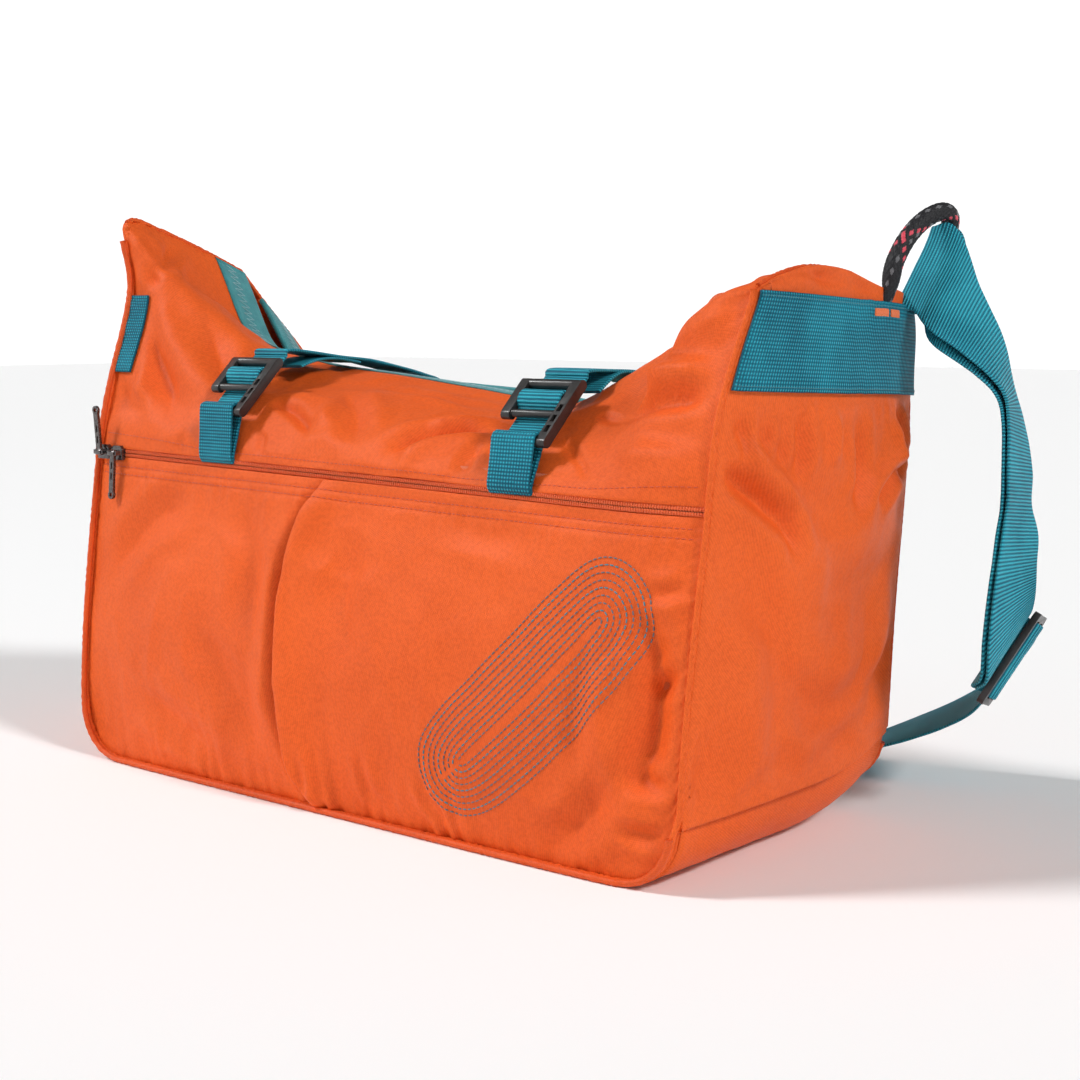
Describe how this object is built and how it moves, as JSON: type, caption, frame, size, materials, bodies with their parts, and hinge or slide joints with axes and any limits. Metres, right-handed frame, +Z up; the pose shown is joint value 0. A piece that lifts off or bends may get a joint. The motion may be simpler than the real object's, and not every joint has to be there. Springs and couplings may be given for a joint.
{
  "type": "rope storage bag",
  "caption": "Soft-sided rope bag with raised ends, zipped front pocket, hook-buckle straps over the mouth, rope handles and an adjustable shoulder strap.",
  "frame": {"origin": "middle of the flat underside, on the surface the bag stands on", "axes": "+Z up; +X along the bag towards the end with the adjuster; the zipped front pocket faces -Y"},
  "size_m": [0.5887, 0.3286, 0.3519],
  "materials": {
    "shell_nylon": "coated nylon, satin",
    "piping_nylon": "coated nylon, satin",
    "zip_tape": "woven tape and plastic coil",
    "pull_metal": "gunmetal plating",
    "binding_tape": "woven tape",
    "cord_rope": "braided rope sheath",
    "buckle_plastic": "moulded acetal, fine texture",
    "stitch_thread": "bonded thread",
    "strap_webbing": "ribbed polyester webbing"
  },
  "bodies": {
    "bag": {"front_panel": "shell_nylon", "front_pocket_left": "shell_nylon", "front_pocket_right": "shell_nylon", "pocket_back_wall": "piping_nylon", "back_panel": "shell_nylon", "base_panel": "shell_nylon", "left_gusset": "shell_nylon", "right_gusset": "shell_nylon", "mouth_binding_front": "binding_tape", "mouth_binding_back": "binding_tape", "base_piping": "piping_nylon", "zip_tapes": "zip_tape", "zip_coil": "zip_tape", "band_left": "strap_webbing", "band_right": "strap_webbing", "bartacks": "stitch_thread", "rope_handle_left": "cord_rope", "rope_handle_right": "cord_rope", "shoulder_strap": "strap_webbing", "compression_strap_left": "strap_webbing", "compression_strap_right": "strap_webbing", "buckle_loop_left": "strap_webbing", "buckle_loop_right": "strap_webbing", "tie_in_loop_left": "strap_webbing", "tie_in_loop_right": "strap_webbing"},
    "slider_right": {"zip_slider_right": "pull_metal"},
    "pull_right": {"zip_pull_right": "pull_metal"},
    "slider_left": {"zip_slider_left": "pull_metal"},
    "pull_left": {"zip_pull_left": "pull_metal"},
    "buckle_left": {"hook_buckle_left": "buckle_plastic", "strap_end_left": "strap_webbing"},
    "buckle_right": {"hook_buckle_right": "buckle_plastic", "strap_end_right": "strap_webbing"},
    "adjuster": {"strap_adjuster": "buckle_plastic", "adjuster_webbing_turn": "strap_webbing"}
  },
  "joints": [
    {"name": "zip_open", "type": "slide", "parent": "bag", "child": "slider_right", "axis": [0.9998, 0, -0.02], "range_m": [0, 0.41]},
    {"name": "pull_right_swing", "type": "hinge", "parent": "slider_right", "child": "pull_right", "pos_m": [-0.216, -0.0922, 0.19932], "axis": [-1, 0, 0], "range_deg": [0, 160]},
    {"name": "zip_open_left", "type": "slide", "parent": "bag", "child": "slider_left", "axis": [-0.9998, 0, 0.02], "range_m": [0, 0.002]},
    {"name": "pull_left_swing", "type": "hinge", "parent": "slider_left", "child": "pull_left", "pos_m": [-0.23, -0.0922, 0.1996], "axis": [1, 0, 0], "range_deg": [0, 160]},
    {"name": "unhook_left", "type": "slide", "parent": "bag", "child": "buckle_left", "axis": [1, 0, 0], "range_m": [0, 0.034]},
    {"name": "unhook_right", "type": "slide", "parent": "bag", "child": "buckle_right", "axis": [1, 0, 0], "range_m": [0, 0.034]},
    {"name": "strap_length", "type": "slide", "parent": "bag", "child": "adjuster", "axis": [-0.3079, 0.9247, -0.2239], "range_m": [0, 0.02]}
  ]
}
